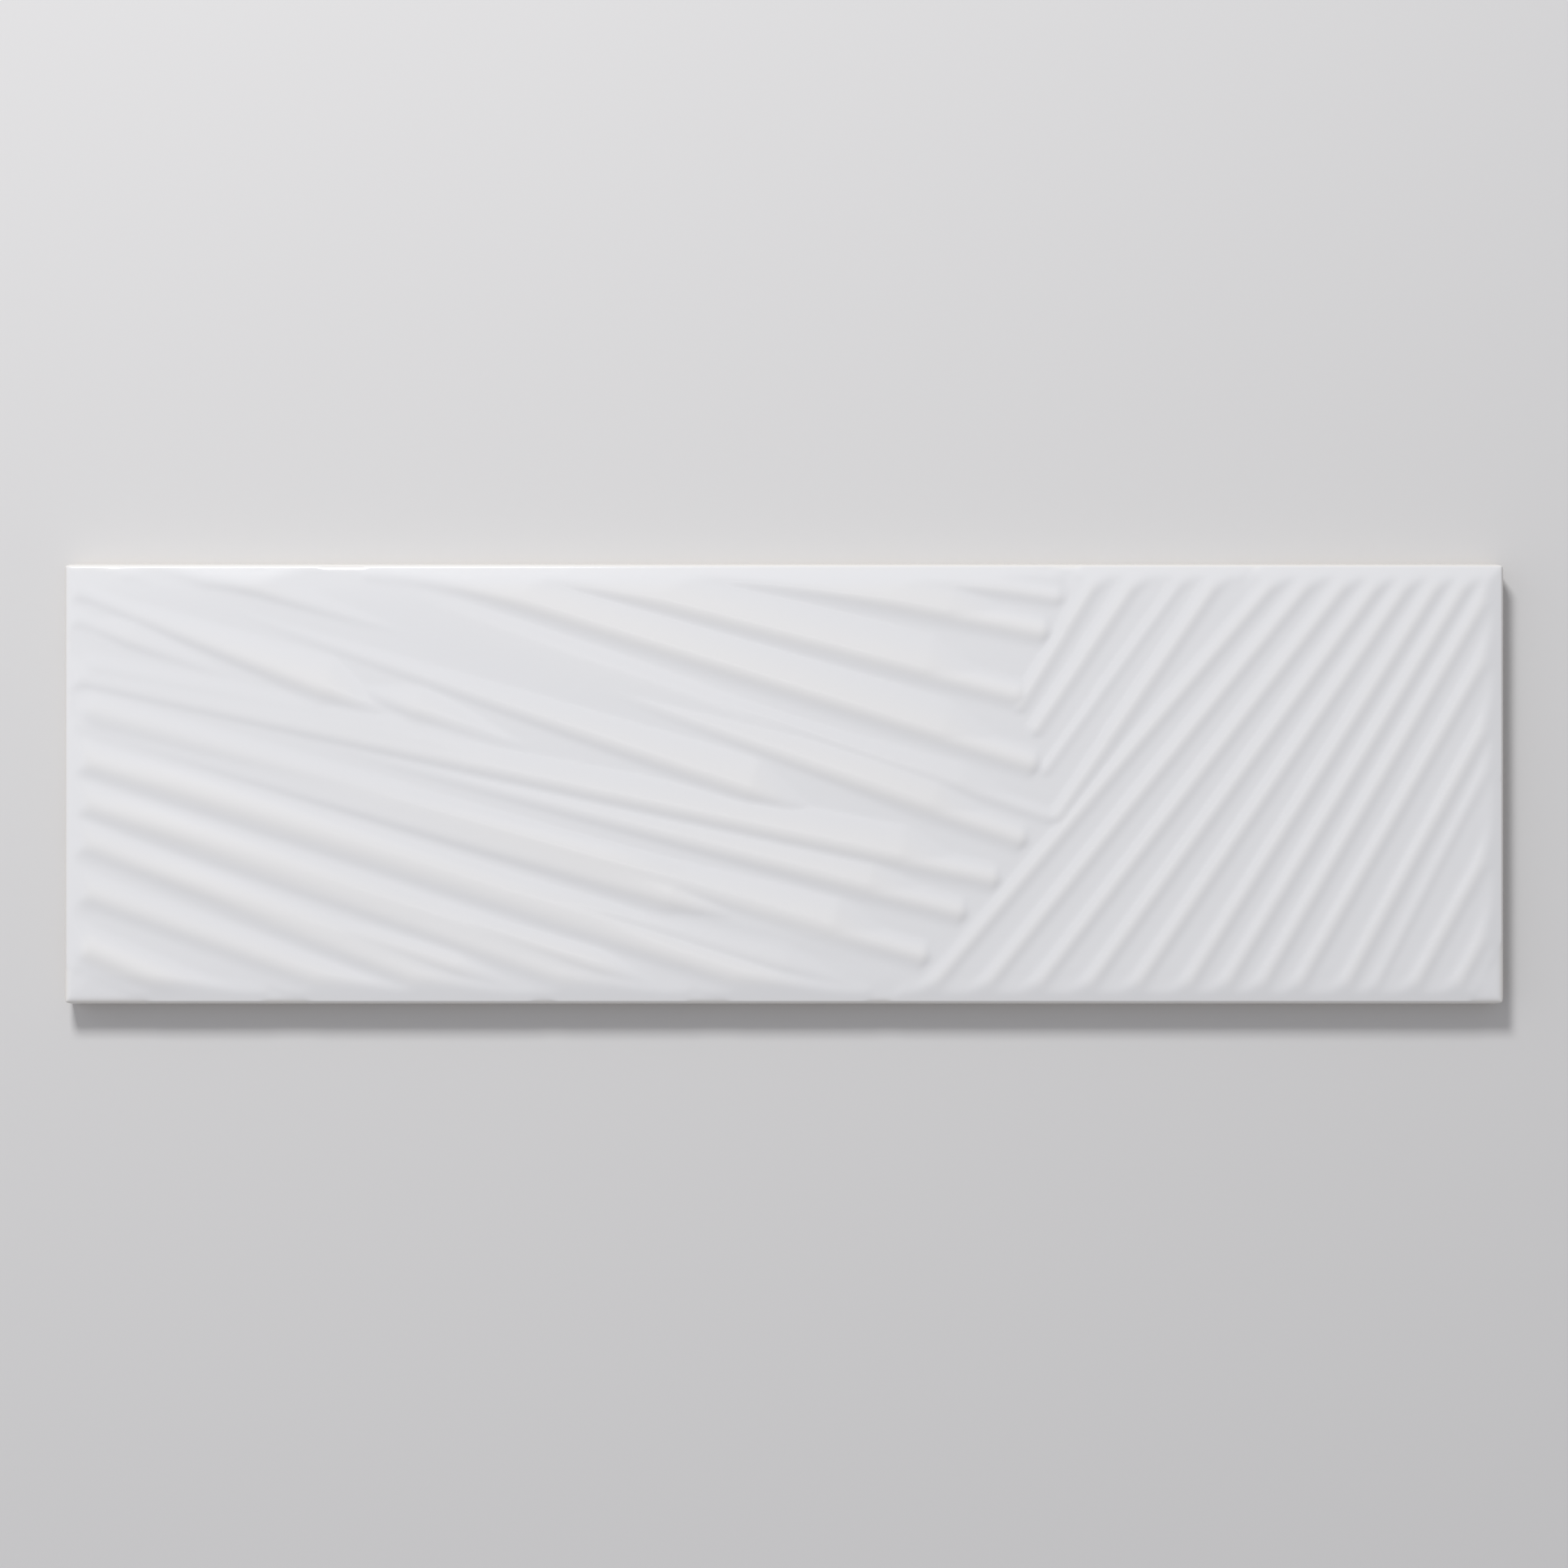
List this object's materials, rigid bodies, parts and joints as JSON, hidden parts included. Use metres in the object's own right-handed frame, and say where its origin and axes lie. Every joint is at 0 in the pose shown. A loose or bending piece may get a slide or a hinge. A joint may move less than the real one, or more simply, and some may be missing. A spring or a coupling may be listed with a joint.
{
  "type": "ceramic wall tile",
  "caption": "Oblong glazed ceramic wall tile with a relief of straight raised ribs that slant in different directions, rounded edges and a grooved back for adhesive.",
  "frame": {"origin": "middle of the tile's back, on the plane that its lands rest on", "axes": "+X along the length, +Y across the width towards the upper edge as laid, +Z out of the glazed face"},
  "size_m": [0.329, 0.1006, 0.0093],
  "materials": {
    "glazed_ceramic": "white gloss glaze on the face and the upper sides, bare cream body on the back"
  },
  "bodies": {
    "root": {"wall_tile": "glazed_ceramic"}
  },
  "joints": []
}
